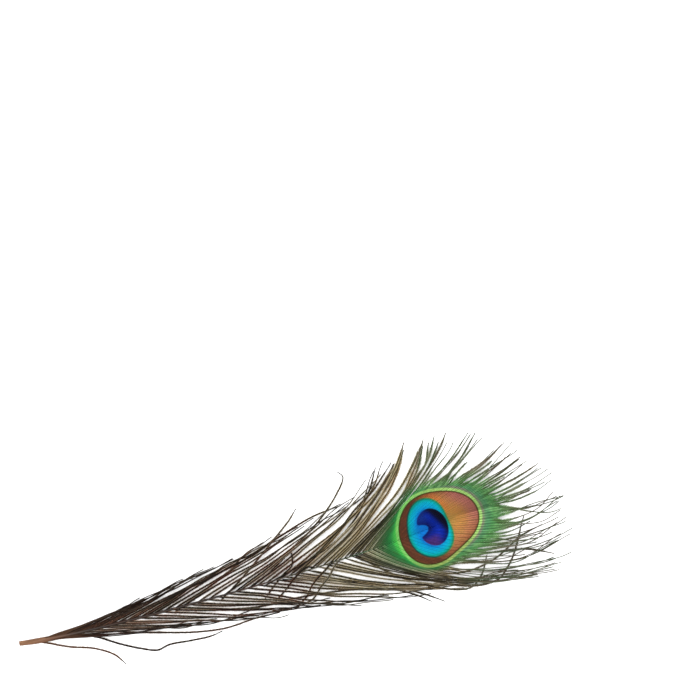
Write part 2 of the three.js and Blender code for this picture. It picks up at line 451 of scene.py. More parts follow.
class Bundle:
    """Barbs gathered into one mesh of four-sided faces, with what the finish reads."""

    def __init__(self, name, rows):
        self.name, self.rows, self.count = name, rows, 0
        kinds = ("points", "faces", "uv", "along", "reach", "barb", "blade")
        self.parts = {kind: [] for kind in kinds}

    def add(self, points, faces, along, reach, barb, blade, row, strip):
        place = STRIP_MARGIN + (1.0 - 2.0 * STRIP_MARGIN) * along
        part = dict(
            points=points, faces=faces + self.count, along=along, reach=reach, blade=blade,
            barb=np.full(len(points), barb),
            uv=np.stack([place, (row + strip) / self.rows], axis=1))
        for kind, values in part.items():
            self.parts[kind].append(values)
        self.count += len(points)

    def build(self, material):
        layers = {kind: np.concatenate(values) for kind, values in self.parts.items()}
        points, faces, uv = (layers.pop(kind) for kind in ("points", "faces", "uv"))
        points[:, 2] = np.clip(points[:, 2], LOWEST, HIGHEST)
        layers.update(eye_markings(points))
        mesh = bpy.data.meshes.new(self.name)
        mesh.from_pydata((points * MM).tolist(), [], faces.tolist())
        for name, values in layers.items():
            layer = mesh.attributes.new(name, "FLOAT", "POINT")
            layer.data.foreach_set("value", values.astype(np.float32))
        mesh.uv_layers.new(name="OFBake").data.foreach_set("uv", uv[faces.ravel()].ravel())
        mesh.materials.append(material)
        return smooth_object(self.name, mesh)


def add_rib(bundle, path, row, barb, root_radius=RIB_ROOT, tip_radius=RIB_TIP):
    """A barb's rib: a tapering four-sided rod, closed at both ends."""
    points, _, left, over, along = spread_out(path, RIB_STATIONS)
    radius = mix(root_radius, tip_radius, along**RIB_TAPER)[:, None, None]
    sideways, upwards = RIB_SECTION[None, :, :1], RIB_SECTION[None, :, 1:]
    ring = sideways * left[:, None, :] + upwards * over[:, None, :]
    corners = (points[:, None, :] + ring * radius).reshape(-1, 3)
    station = np.arange(RIB_STATIONS - 1)[:, None] * 4
    here = station + np.arange(4)[None, :]
    beside = station + (np.arange(4)[None, :] + 1) % 4
    walls = np.stack([here, here + 4, beside + 4, beside], axis=-1)
    last = (RIB_STATIONS - 1) * 4
    caps = np.array([[0, 1, 2, 3], [last + 3, last + 2, last + 1, last]])
    faces = np.concatenate([walls.reshape(-1, 4), caps])
    none = np.zeros(len(corners))
    strip = np.tile(RIB_STRIP, RIB_STATIONS)
    bundle.add(corners, faces, np.repeat(along, 4), none, barb, none, row, strip)


def add_barbules(bundle, path, row, barb, rng, pitch, length_at, angle_at, blade, twist):
    """Barbules on both sides of a rib: narrow blades that lean and curve towards the tip."""
    total = length_along(path)[-1]
    for side in (1.0, -1.0):
        count = int(total / pitch)
        places = (np.arange(count) + rng.uniform(*BARBULE_PLACES, count)) * pitch
        points, heading, left, over, along = spread_out(path, np.clip(places, 0.0, total))
        length = length_at(along, side) * rng.uniform(*BARBULE_LENGTHS, count)
        keep = length > BARBULE_LEAST
        rows = (points, heading, left, over, along, length)
        points, heading, left, over, along, length = (values[keep] for values in rows)
        count = len(along)
        lean = np.radians(angle_at(along) + rng.normal(0.0, BARBULE_LEAN_SPREAD, count))
        turn = np.radians(rng.uniform(-twist, twist, count))
        rise = rng.normal(*BARBULE_RISES, count)
        quads = []
        for share, width_share in BARBULE_WIDTHS:
            bend = lean * (1.0 - BARBULE_EASING * share)
            outward = np.cos(bend)[:, None] * heading + (side * np.sin(bend))[:, None] * left
            reach = outward * (length * share)[:, None]
            lift = over * (length * (rise * share - BARBULE_DROOP * share**2))[:, None]
            flat = unit(np.cross(outward, over))
            edge = np.cos(turn)[:, None] * flat + np.sin(turn)[:, None] * over
            half = 0.5 * blade * width_share
            middle = points + reach + lift
            quads += [middle - edge * half, middle + edge * half]
        corners = np.stack(quads, axis=1).reshape(-1, 3)
        first_corner = np.arange(count)[:, None, None] * BARBULE_CORNERS
        order = [[0, 2, 3, 1], [2, 4, 5, 3]] if side > 0 else [[0, 1, 3, 2], [2, 3, 5, 4]]
        faces = (first_corner + np.array(order)[None, :, :]).reshape(-1, 4)
        shares = np.tile(np.repeat([share for share, _ in BARBULE_WIDTHS], 2), count)
        forward = np.repeat(length * BARBULE_FORWARD / total, BARBULE_CORNERS) * shares
        whole = np.clip(np.repeat(along, BARBULE_CORNERS) + forward, 0.0, 1.0)
        strip = BARBULE_STRIP + side * (BARBULE_STRIP_FROM + BARBULE_STRIP_SPAN * shares)
        shade = np.repeat(rng.uniform(0.0, 1.0, count), BARBULE_CORNERS)
        out = np.maximum(shares, REACH_LEAST) * side
        bundle.add(corners, faces, whole, out, barb, shade, row, strip)


def outline(turn, terms):
    """A round outline's radius: a mean, then pairs of cosine and sine parts."""
    radius = np.full(turn.shape, terms[0])
    for index in range(1, len(terms), 2):
        order = (index + 1) // 2
        radius += terms[index] * np.cos(order * turn) + terms[index + 1] * np.sin(order * turn)
    return radius


def oval_distance(u, v, centre, half):
    """About how far a place is outside an oval, in millimetres; negative inside."""
    across, up = (u - centre[0]) / half[0], (v - centre[1]) / half[1]
    value = np.sqrt(across**2 + up**2) + 1e-6
    steepness = np.sqrt((across / half[0]) ** 2 + (up / half[1]) ** 2) / value
    return (value - 1.0) / np.maximum(steepness, 1e-3)


# The markings' outlines, in millimetres from the middle of the eye, along it and across it
COPPER_MIDDLE = 4.2
COPPER_OUTLINE = (18.64, -0.62, -0.31, 1.98, 0.55, 0.94, -0.4)
CYAN_OUTLINE = (12.55, -0.75, -0.1, -2.05, 0.45, -0.35, -0.3)
HEART_CENTRE, HEART_HALF = (1.2, 0.0), (7.6, 9.6)
BAY_CENTRE, BAY_HALF = (-6.6, 0.6), (5.6, 2.9)
HEART_ROUNDING = 0.6
GREEN_REACH = 6.5
GREEN_LEFT = 1.2
GREEN_TO_ROOT = 13.0
GREEN_TO_TIP = 16.0
GREEN_TIP_TURN = math.radians(-14.0)


def eye_markings(points):
    """Distances in millimetres outside each marking of the eye, for every place on the vane."""
    offset = points[:, :2] - EYE_CENTRE
    u = offset[:, 0] * math.cos(EYE_TURN) + offset[:, 1] * math.sin(EYE_TURN)
    v = offset[:, 1] * math.cos(EYE_TURN) - offset[:, 0] * math.sin(EYE_TURN)
    turn = np.arctan2(v, u - COPPER_MIDDLE)
    copper = np.hypot(u - COPPER_MIDDLE, v) - outline(turn, COPPER_OUTLINE)
    cyan = np.hypot(u, v) - outline(np.arctan2(v, u), CYAN_OUTLINE)
    body = oval_distance(u, v, HEART_CENTRE, HEART_HALF)
    bay = -oval_distance(u, v, BAY_CENTRE, BAY_HALF)
    heart = np.logaddexp(body / HEART_ROUNDING, bay / HEART_ROUNDING) * HEART_ROUNDING
    reach = GREEN_REACH + GREEN_LEFT * np.sin(turn)
    reach = reach + GREEN_TO_ROOT * np.maximum(-np.cos(turn), 0.0) ** 12
    reach = reach + GREEN_TO_TIP * np.maximum(np.cos(turn - GREEN_TIP_TURN), 0.0) ** 2
    green = copper / reach
    return dict(copper=copper, cyan=cyan, heart=heart, green=green, eye_u=u, eye_v=v)


def read(tree, name):
    return add_node(tree, "ShaderNodeAttribute", attribute_name=name).outputs["Fac"]


# How far apart the barbs stand in their noise, so that no two are alike
BARB_APART = 61.0


def barb_streaks(tree, fineness, along, barb):
    """Grey noise that changes from barb to barb, and slowly along each one."""
    apart, onward = product(tree, barb, BARB_APART), product(tree, along, fineness)
    place = add_node(tree, "ShaderNodeCombineXYZ", apart, onward)
    return grain(tree, place.outputs[0], 1.0, 2.0)


def brown_barb_colour(tree, along, reach, edge, barb):
    """Loose barbs: dark ribs, olive to red-brown barbules, and painted light on the side that lies
    upwards.
    """
    rib = ramp(tree, along, [
        (0.0, (44, 31, 20)), (0.3, (38, 23, 12)), (0.7, (50, 33, 18)), (1.0, (84, 68, 50))])
    olive = ramp(tree, along, [
        (0.0, (84, 76, 60)), (0.35, (84, 72, 48)), (0.7, (104, 88, 54)), (1.0, (126, 116, 88))])
    red = ramp(tree, along, [
        (0.0, (86, 64, 56)), (0.35, (118, 62, 42)), (0.7, (138, 72, 50)), (1.0, (134, 96, 76))])
    tint = span(tree, barb_streaks(tree, 3.5, along, barb), 0.38, 0.56)
    body = blend(tree, tint, olive, red)
    place = place_along(tree)
    by_eye = span(tree, place, 122.0, 156.0, 0.0, 0.6)
    body = blend(tree, by_eye, body, (166, 156, 112))
    by_quill = span(tree, place, 100.0, 30.0, 0.0, 0.72)
    dusky = blend(tree, span(tree, barb, 0.3, 0.8), (58, 42, 34), (172, 106, 80))
    body = blend(tree, by_quill, body, dusky)
    rib = blend(tree, span(tree, place, 70.0, 24.0), rib, (74, 44, 32))
    by_cut = blend(tree, span(tree, barb, 0.3, 0.7), (84, 58, 44), (150, 106, 80))
    rib = blend(tree, span(tree, place, 30.0, 4.0), rib, by_cut)
    rib = blend(tree, span(tree, place, 120.0, 158.0), rib, (58, 50, 32))
    # Painted light: the barbules on the upward side of each loose barb are paled as if lit from
    # that side
    lit_side_share = span(tree, reach, -0.3, 0.5, 0.16, 0.7)
    painted_side_light = product(tree, span(tree, edge, 0.5, 1.0), lit_side_share)
    body = blend(tree, painted_side_light, body, (204, 192, 164))
    return blend(tree, span(tree, edge, 0.05, 0.3), rib, body)


def thread_colour(tree, along, edge, barb):
    """The loose threads past the green: grey-green or brownish, paler at the edges."""
    patches = span(tree, barb_streaks(tree, 4.0, along, barb), 0.35, 0.65)
    threads = blend(tree, patches, (84, 102, 66), (142, 148, 118))
    threads = blend(tree, span(tree, barb, 0.66, 0.74, 0.0, 0.7), threads, (108, 84, 72))
    return blend(tree, span(tree, edge, 0.4, 1.0, 0.0, 0.6), threads, (190, 194, 176))


def halo_colour(tree, marks):
    """The green round the eye: brightest towards the root, streaked and plum-edged at the tip."""
    green, streaks, towards_tip = marks["green"], marks["streaks"], marks["towards_tip"]
    near_halo = ramp(tree, green, [
        (0.04, (98, 214, 92)), (0.14, (78, 200, 84)), (0.24, (52, 154, 76)), (0.36, (48, 124, 66)),
        (0.6, (70, 108, 62)), (1.0, (92, 96, 62))])
    far_halo = ramp(tree, green, [
        (0.06, (132, 188, 110)), (0.1, (116, 156, 106)), (0.16, (96, 148, 102)),
        (0.22, (84, 146, 98)), (0.34, (86, 150, 86)), (0.6, (104, 142, 90)), (1.0, (114, 126, 92))])
    halo = blend(tree, towards_tip, near_halo, far_halo)
    plum = ramp(tree, marks["copper"], [
        (1.5, (0, 0, 0)), (1.9, (255, 255, 255)), (2.6, (255, 255, 255)), (3.3, (0, 0, 0))])
    beside_tip = span(tree, marks["eye_u"], 9.0, 20.0, 0.0, 0.62)
    plum = product(tree, plum, beside_tip, span(tree, streaks, 0.3, 0.55, 0.5, 1.0))
    halo = blend(tree, plum, halo, (144, 124, 120))
    beyond = span(tree, green, 0.12, 0.35)
    lit = product(tree, beyond, towards_tip, span(tree, streaks, 0.5, 0.66, 0.0, 0.5))
    halo = blend(tree, lit, halo, (158, 208, 134))
    dull = product(tree, span(tree, streaks, 0.5, 0.36, 0.0, 0.6), beyond)
    return blend(tree, dull, halo, (70, 84, 42))


EYE_LINE = (66, 60, 24)


def outer_colour(tree, marks, brown, along, edge, barb):
    """Outside the copper: a dark line, the yellow-green ring, the green halo, then the brown."""
    copper, green, eye_u = marks["copper"], marks["green"], marks["eye_u"]
    ring = blend(tree, marks["towards_tip"], (134, 212, 110), (170, 216, 120))
    lower_side = span(tree, marks["eye_v"], -10.0, -17.0, 0.0, 0.8)
    ring = blend(tree, lower_side, ring, (158, 176, 96))
    halo = halo_colour(tree, marks)

    # Where the halo fades, pale slits and dark shadows part its barbs, and their edges fray
    fading = product(tree, span(tree, green, 0.3, 0.7), span(tree, eye_u, 0.0, -10.0))
    slit = product(tree, span(tree, barb, 0.7, 0.78, 0.0, 0.6), fading)
    shadow = product(tree, span(tree, barb, 0.42, 0.34, 0.0, 0.7), fading)
    frayed = product(tree, span(tree, edge, 0.45, 0.9, 0.0, 0.45), fading)
    halo = blend(tree, slit, halo, (176, 182, 150))
    halo = blend(tree, shadow, halo, (40, 52, 28))
    halo = blend(tree, frayed, halo, (182, 186, 156))
    halo = blend(tree, span(tree, copper, 1.3, 2.1), ring, halo)
    halo = blend(tree, span(tree, copper, 0.1, 0.55), EYE_LINE, halo)

    threads = thread_colour(tree, along, edge, barb)
    brown = blend(tree, span(tree, eye_u, -4.0, 14.0), brown, threads)
    close_by = span(tree, eye_u, -95.0, -30.0, 0.15, 0.8)
    brown = blend(tree, product(tree, slit, close_by), brown, (196, 186, 160))
    brown = blend(tree, product(tree, shadow, close_by), brown, (46, 38, 26))
    return blend(tree, span(tree, green, 0.5, 1.1), halo, brown)


def copper_colour(tree, marks):
    """The copper oval: rusty towards the root, tan and orange towards the tip, rosy on a side."""
    copper, eye_u, eye_v = marks["copper"], marks["eye_u"], marks["eye_v"]
    streaks = marks["streaks"]
    rust = blend(tree, span(tree, streaks, 0.35, 0.65), (92, 54, 38), (110, 64, 42))
    tan = ramp(tree, copper, [
        (-16.0, (172, 142, 70)), (-10.0, (196, 138, 72)), (-4.0, (186, 124, 78)),
        (-0.6, (156, 96, 64))])
    tan = blend(tree, span(tree, streaks, 0.5, 0.64, 0.0, 0.22), tan, (150, 132, 62))
    orange = product(tree, span(tree, marks["cyan"], 5.0, 1.0), span(tree, eye_v, 1.0, 8.0))
    tan = blend(tree, product(tree, orange, 0.6), tan, (206, 118, 50))
    bronze = blend(tree, span(tree, eye_u, -4.0, 10.0), rust, tan)
    rose = product(
        tree, span(tree, eye_v, -13.0, 1.0), span(tree, copper, -8.0, -2.0),
        span(tree, eye_u, 11.0, 19.0))
    bronze = blend(tree, product(tree, rose, 0.7), bronze, (182, 108, 104))
    return blend(tree, span(tree, copper, -0.7, -0.15, 0.0, 0.75), bronze, EYE_LINE)


def cyan_colour(tree, marks):
    """The cyan ring: bluer beside the heart and in the bay on the heart's root side."""
    eye_u = marks["eye_u"]
    blue = ramp(tree, marks["cyan"], [
        (-6.5, (0, 134, 206)), (-3.6, (0, 160, 208)), (-1.7, (0, 172, 196)), (-0.7, (0, 168, 158)),
        (0.0, (6, 128, 108))])
    near_heart = product(
        tree, span(tree, marks["heart"], 0.0, 1.8, 0.6, 0.0), span(tree, eye_u, 3.0, -2.0))
    blue = blend(tree, near_heart, blue, (8, 110, 208))
    off_bay = sums(tree, "ABSOLUTE", sums(tree, "SUBTRACT", marks["eye_v"], BAY_CENTRE[1]))
    in_bay = product(
        tree, span(tree, off_bay, 4.6, 0.6, 0.0, 0.9), span(tree, eye_u, -10.0, -3.0),
        span(tree, eye_u, 3.0, 0.0))
    return blend(tree, in_bay, blue, (14, 124, 222))


def heart_colour(tree, marks):
    """The heart: navy, violet and slate in its two lobes, almost black on the tip side."""
    eye_u, eye_v = marks["eye_u"], marks["eye_v"]
    navy = ramp(tree, marks["heart"], [
        (-6.0, (4, 50, 184)), (-2.5, (3, 36, 148)), (-0.8, (6, 26, 104)), (0.0, (6, 34, 118))])
    lower_lobe = product(
        tree, span(tree, eye_v, -2.6, -6.0), span(tree, eye_u, 4.5, -0.5, 0.0, 0.85))
    navy = blend(tree, lower_lobe, navy, (74, 44, 108))
    upper_lobe = product(
        tree, span(tree, eye_v, 2.0, 6.0), span(tree, eye_u, 2.5, -2.0, 0.0, 0.7))
    navy = blend(tree, upper_lobe, navy, (18, 50, 132))
    night = span(tree, sums(tree, "MULTIPLY_ADD", eye_v, 0.4, eye_u), 3.0, 7.0)
    return blend(tree, night, navy, (2, 4, 34))


def eye_colour(tree, brown, along, edge, barb):
    """The eye from the outside in: each marking is laid over the one round it."""
    names = ("copper", "cyan", "heart", "green", "eye_u", "eye_v")
    marks = {name: read(tree, name) for name in names}
    marks["streaks"] = barb_streaks(tree, 7.0, along, barb)
    marks["towards_tip"] = span(tree, marks["eye_u"], -8.0, 9.0)
    colour = outer_colour(tree, marks, brown, along, edge, barb)
    bronze = copper_colour(tree, marks)
    colour = blend(tree, span(tree, marks["copper"], -0.2, 0.15), bronze, colour)
    rim = blend(tree, marks["towards_tip"], (18, 66, 62), (58, 148, 84))
    colour = blend(tree, span(tree, marks["cyan"], 0.9, 0.25, 0.0, 0.95), colour, rim)
    colour = blend(tree, span(tree, marks["cyan"], -0.25, 0.25), cyan_colour(tree, marks), colour)
    return blend(tree, span(tree, marks["heart"], -0.3, 0.3), heart_colour(tree, marks), colour)


# How far the colours are deepened, for a surface lit brightly from all round
DEPTH = 0.57
STRAY_DEPTH = 0.45


def barb_material(name, depth):
    material, tree, shader = new_material(name)
    along, barb, blade = read(tree, "along"), read(tree, "barb"), read(tree, "blade")
    reach = read(tree, "reach")
    edge = sums(tree, "ABSOLUTE", reach)
    brown = brown_barb_colour(tree, along, reach, edge, barb)
    colour = eye_colour(tree, brown, along, edge, barb)

    # The ribs show darker than their barbules, and most of all on the loose barbs
    darkening = span(tree, read(tree, "cyan"), -1.0, 14.0, 0.12, 0.4)
    on_the_loose = span(tree, read(tree, "eye_u"), -15.0, -24.0, 0.0, 0.25)
    darkening = sums(tree, "ADD", darkening, on_the_loose)
    ribbed = product(tree, span(tree, edge, 0.5, 0.0), darkening)
    ribbed = sums(tree, "SUBTRACT", 1.0, ribbed)
    by_barb = span(tree, barb, 0.0, 1.0, 0.84 * depth, 1.1 * depth)
    shade = product(tree, ribbed, span(tree, blade, 0.0, 1.0, 0.86, 1.08), by_barb)
    grey = add_node(tree, "ShaderNodeCombineColor", shade, shade, shade)
    sheen = span(tree, read(tree, "green"), 0.3, 1.2)
    feed(tree, shader, {
        "Base Color": blend(tree, 1.0, colour, grey.outputs[0], "MULTIPLY"),
        "Metallic": sums(tree, "MULTIPLY_ADD", sheen, -0.3, 0.4),
        "Roughness": span(tree, blade, 0.0, 1.0, 0.42, 0.6),
        "Specular IOR Level": 0.06})
    return material


GAP, ROOM = 1, 2


def at_root(gaps, root, column):
    return float(np.interp(root, gaps[:, 0], gaps[:, column]))


def spaced_roots(rng, first, last, gaps, unevenness):
    """Places along the shaft from first to last, each about a gap on from the one before."""
    roots = [first]
    while roots[-1] < last:
        uneven = rng.uniform(1.0 - unevenness, 1.0 + unevenness)
        roots.append(roots[-1] + at_root(gaps, roots[-1], GAP) * uneven)
    return np.array(roots[:-1])


def wander(path, rng, size, waves):
    """Sideways waves that grow from the root to the tip."""
    _, _, left, _, along = spread_out(path, len(path))
    phase = rng.uniform(0.0, 2.0 * math.pi, 2)
    swing = np.sin(waves * 2.0 * math.pi * along + phase[0]) * along**WANDER_GROWTH
    ripple = np.sin(RIPPLE_WAVES * waves * 2.0 * math.pi * along + phase[1])
    swing = swing + RIPPLE_SIZE * ripple * along
    return path + left * (size * (swing - swing[0]))[:, None]


def curl(path, rng, lean, size):
    """A free tip that bends away to one side, and a little out of the run of the others."""
    _, _, left, _, along = spread_out(path, len(path))
    away = rng.normal(lean, size) * smoothstep(CURL_FROM, 1.0, along) ** 2
    return path + left * away[:, None]


def spacing(guides, root, gap, shares):
    """The distance between a barb and the next one, all the way along."""
    root = max(root, FIRST_GUIDE)
    near = vane_points(guides, root, shares, 0.0)
    far = vane_points(guides, min(root + gap, LAST_GUIDE), shares, 0.0)
    _, _, left, _, _ = spread_out(near, len(shares))
    return np.abs(np.sum((far - near)[:, :2] * left[:, :2], axis=1))


def cling(shares, closest, opening):
    """How strongly a barb is drawn to its clump on the way from the shaft to the tip."""
    drawn = smoothstep(CLUMP_FROM, closest, shares)
    return drawn * (1.0 - opening * smoothstep(closest, 1.0, shares))


def tip_taper(along, starts=TIP_FROM, ends=1.0):
    """How the barbules shorten towards the tip of a barb."""
    return 1.0 - TIP_SHORTER_BY * smoothstep(starts, ends, along)


def make_loose_barbs(name, guides, gaps, clinging, rib_root, first, last, material, seed):
    rng = np.random.default_rng(seed)
    roots = spaced_roots(rng, first, last, gaps, UNEVENNESS)
    bundle = Bundle(name, len(roots))
    shares = np.linspace(0.0, 1.0, LOOSE_POINTS)
    index = 0
    while index < len(roots):
        size = int(rng.integers(*CLUMP_BARBS))
        members = range(index, min(index + size, len(roots)))
        middle = roots[members.start:members.stop].mean() + rng.uniform(*CLUMP_STRAYS)
        near_eye = smoothstep(*STRAIGHTER, middle)
        free = 1.0 - STRAIGHTER_BY * near_eye
        closeness = clinging * rng.uniform(*CLUMP_HOLD) * free
        closest, opening = rng.uniform(*CLUMP_CLOSEST), rng.uniform(*CLUMP_OPENING)
        lean = rng.normal(0.0, CLUMP_LEAN * free)
        lift = float(rng.choice(CLUMP_LIFTS))
        for row in members:
            root = roots[row]
            pull = closeness * cling(shares, closest, opening)
            upto = shares * rng.uniform(*BARB_ENDS)
            astray = rng.normal(lean, ASTRAY - ASTRAY_LESS * near_eye)
            line = mix(root, middle, pull)
            line = np.clip(line + astray * smoothstep(0.2, 1.0, shares), FIRST_GUIDE, LAST_GUIDE)
            tip_height = lift + rng.uniform(*LIFT_SPREAD)
            path = vane_points(guides, line, upto, tip_height)
            path = wander(path, rng, rng.uniform(*WANDER_SIZES), rng.uniform(*WANDER_WAVES))
            path = curl(path, rng, CURL_LEAN, CURL_SIZE)
            barb = rng.uniform()
            add_rib(bundle, path, row, barb, rib_root)

            longest = LOOSE_BARBULE * rng.uniform(*FULLNESS)
            start = rng.uniform(*PATCH_STARTS)
            apart = spacing(guides, root, at_root(gaps, root, GAP), upto)

            def barbule_length(along, side):
                patchy = PATCH_LEVEL + PATCH_DEPTH * np.sin(PATCH_WAVES * along + start + side)
                most = at_root(gaps, root, ROOM) * np.interp(along, shares, apart) + ROOM_LEAST
                swell = smoothstep(*BARBULES_BEGIN, along) * tip_taper(along)
                return np.minimum(longest * patchy, most) * swell

            add_barbules(
                bundle, path, row, barb, rng, LOOSE_PITCH, barbule_length,
                lambda along: mix(*LOOSE_ANGLES, along), LOOSE_BLADE, LOOSE_TWIST)
        index = members.stop
    return bundle.build(material)


barbs_finish = barb_material("barbs", DEPTH)
sides = (
    ("left", LEFT_GUIDES, LEFT_GAPS, LEFT_CLINGING, LOOSE_SEED),
    ("right", RIGHT_GUIDES, RIGHT_GAPS, RIGHT_CLINGING, LOOSE_SEED + 1),
)
for side_name, guides, gaps, clinging, seed in sides:
    lengths = (
        ("quill", RIB_ROOT, LOOSE_FROM, BY_EYE_FROM, seed),
        ("eye", RIB_ROOT_BY_EYE, BY_EYE_FROM, LOOSE_UNTIL, seed + 10),
    )
    for end_name, rib_root, first, last, length_seed in lengths:
        loose = make_loose_barbs(
            f"{side_name}_barbs_by_{end_name}", guides, gaps, clinging, rib_root,
            first, last, barbs_finish, length_seed)
        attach(loose, "root")

# ---------- The eye vane ----------
# Round the eye the barbs stand close and their barbules overlap like shingles, so the markings
# run on unbroken. Past the green each barb ends in a bare thread.

EYE_POINTS = 140
EYE_FROM = 162.0
EYE_LEAST_ROOT = 160.0
EYE_GAPS = np.array([(161, 1.5), (168, 1.1), (206, 1.0)])
EYE_UNEVENNESS = 0.08
EYE_RIB_ROOT, EYE_RIB_TIP = 0.18, 0.23
EYE_PITCH = 0.2
EYE_BLADE = 0.2
EYE_TWIST = 14.0
EYE_ANGLE = 50.0
EYE_TIP_ANGLE = 26.0
EYE_BARBULES = (0.3, 1.5)
EYE_OVERLAP = 0.8

# The sheet under the barbules: its lower edge, middle and upper edge lie by side, drop, reach
# for the finish, and place across the strip of baked colours
WEB_STATIONS = 70
WEB_DROP = 0.12
WEB_REACH = 0.55
WEB_LEAST = 0.02
WEB_LINES = ((-1.0, 2.2, -0.6, 0.2), (0.0, 1.0, 0.2, 0.55), (1.0, 0.6, 0.6, 0.9))
WEB_SHADE = 0.3

# Outside the green the barbs are free: they gather in clumps, and some end short
EYE_CLUMP_STRAY = 0.9
EYE_CLUMP_HOLD = (0.4, 1.1)
EYE_CLUMP_LIFTS = (0.4, 1.2, 2.4, 4.6)
EYE_CURL_LEAN, EYE_CURL_SPREAD, EYE_CURL_SIZE = 0.8, 2.8, 1.5
EYE_DRIFT = 1.3
LONG_SHARE = 0.6
LONG_ENDS = (0.88, 1.0)
SHORT_ENDS = (0.64, 0.88)
FREE_BARB = (0.2, 1.2)
EYE_WANDER_SIZES = (0.3, 1.8)
EYE_WANDER_WAVES = (0.5, 1.3)
BARE_FROM = (0.66, 0.94)
BARE_OVER = 0.12
RIBBON_BREADTHS = (0.6, 1.35)

# Each half with its guides, the millimetres of barbule on its free barbs, how far these stray
# from an even fan, and its seed
EYE_VANES = (
    ("left_eye_vane", LEFT_GUIDES, 1.15, 0.5, 77), ("right_eye_vane", RIGHT_GUIDES, 0.52, 1.0, 78))


def add_web(bundle, path, row, barb, half_width):
    """The sheet that the overlapping barbules make on both sides of a rib."""
    points, _, left, over, along = spread_out(path, WEB_STATIONS)
    half = half_width(along)
    keep = half > WEB_LEAST
    points, left, over, along, half = (values[keep] for values in (points, left, over, along, half))
    count = len(along)
    edges, drops, reaches, strips = zip(*WEB_LINES)
    lines = [
        points + left * (edge * half)[:, None] - over * (WEB_DROP * drop)
        for edge, drop in zip(edges, drops)]
    corners = np.stack(lines, axis=1).reshape(-1, 3)
    first_corner = np.arange(count - 1)[:, None, None] * 3
    order = np.array([[0, 3, 4, 1], [1, 4, 5, 2]])[None, :, :]
    faces = (first_corner + order).reshape(-1, 4)
    shade = np.full(3 * count, WEB_SHADE)
    reach, strip = np.tile(reaches, count), np.tile(strips, count)
    bundle.add(corners, faces, np.repeat(along, 3), reach, barb, shade, row, strip)


def make_eye_barbs(name, guides, ribbon_reach, looseness, seed, material):
    rng = np.random.default_rng(seed)
    roots = spaced_roots(rng, EYE_FROM, LAST_GUIDE, EYE_GAPS, EYE_UNEVENNESS)
    bundle = Bundle(name, len(roots))
    shares = np.linspace(0.0, 1.0, EYE_POINTS)
    outer_half = smoothstep(0.3, 0.5, shares)
    clump_ends = 0
    for row, root in enumerate(roots):
        if row >= clump_ends:
            clump_ends = row + int(rng.integers(*CLUMP_BARBS))
            middle = roots[row:clump_ends].mean() + rng.normal(0.0, EYE_CLUMP_STRAY)
            closeness = looseness * rng.uniform(*EYE_CLUMP_HOLD)
            lift = float(rng.choice(EYE_CLUMP_LIFTS))
            clump_curl = rng.normal(EYE_CURL_LEAN, EYE_CURL_SPREAD * looseness)
        gap = at_root(EYE_GAPS, root, GAP)
        tip_height = lift + rng.uniform(*LIFT_SPREAD)
        ends = LONG_ENDS if rng.uniform() < LONG_SHARE else SHORT_ENDS
        upto = shares * rng.uniform(*ends)
        held = vane_points(guides, root, upto, tip_height)
        apart = spacing(guides, min(root, LAST_GUIDE - gap), gap, upto)
        green = eye_markings(held)["green"]
        free = smoothstep(*FREE_BARB, green) * outer_half
        line = mix(root, middle, closeness * free) + rng.normal(0.0, EYE_DRIFT) * free * shares
        path = vane_points(guides, np.clip(line, EYE_LEAST_ROOT, LAST_GUIDE), upto, tip_height)
        size = looseness * rng.uniform(*EYE_WANDER_SIZES)
        path = wander(path, rng, size, rng.uniform(*EYE_WANDER_WAVES))
        path = curl(path, rng, clump_curl, EYE_CURL_SIZE * looseness)
        path = held + (path - held) * smoothstep(0.0, 0.3, free)[:, None]
        green = eye_markings(path)["green"]
        # Every other barb is a pale one
        barb = 0.5 * (rng.uniform() + row % 2)
        add_rib(bundle, path, row, barb, EYE_RIB_ROOT, EYE_RIB_TIP)
        past = smoothstep(0.5, 1.1, green) * outer_half
        bare_from = rng.uniform(*BARE_FROM)
        breadth = ribbon_reach * rng.uniform(*RIBBON_BREADTHS)

        def web_half(along):
            inside = 1.0 - smoothstep(0.3, 0.85, np.interp(along, shares, green))
            inside = inside * (1.0 - smoothstep(0.1, 0.6, np.interp(along, shares, past)))
            return WEB_REACH * (inside * np.interp(along, shares, apart))

        def barbule_length(along, side):
            width = np.interp(along, shares, apart)
            length = EYE_OVERLAP * width / math.sin(math.radians(EYE_ANGLE))
            length = np.clip(length, *EYE_BARBULES)
            ribbon = breadth * tip_taper(along, bare_from, bare_from + BARE_OVER)
            return mix(length, ribbon, np.interp(along, shares, past))

        add_web(bundle, path, row, barb, web_half)
        add_barbules(
            bundle, path, row, barb, rng, EYE_PITCH, barbule_length,
            lambda along: mix(EYE_ANGLE, EYE_TIP_ANGLE, smoothstep(0.4, 1.0, along)),
            EYE_BLADE, EYE_TWIST)
    return bundle.build(material)


for half_vane in EYE_VANES:
    piece = make_eye_barbs(*half_vane, barbs_finish)
    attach(piece, "root")

# ---------- The stray barbs ----------
# A handled feather has a few barbs out of line, all grown from the shaft: some hang below the
# quill, some are kinked, and some are folded back across the vane.

STRAY_SEED = 5
STRAY_HEIGHT = 1.6
STRAY_TIP_HEIGHT = 0.4
STRAY_RIB_ROOT = 0.42
STRAY_BARBULE = 1.1
STRAY_ANGLES = (44.0, 32.0)
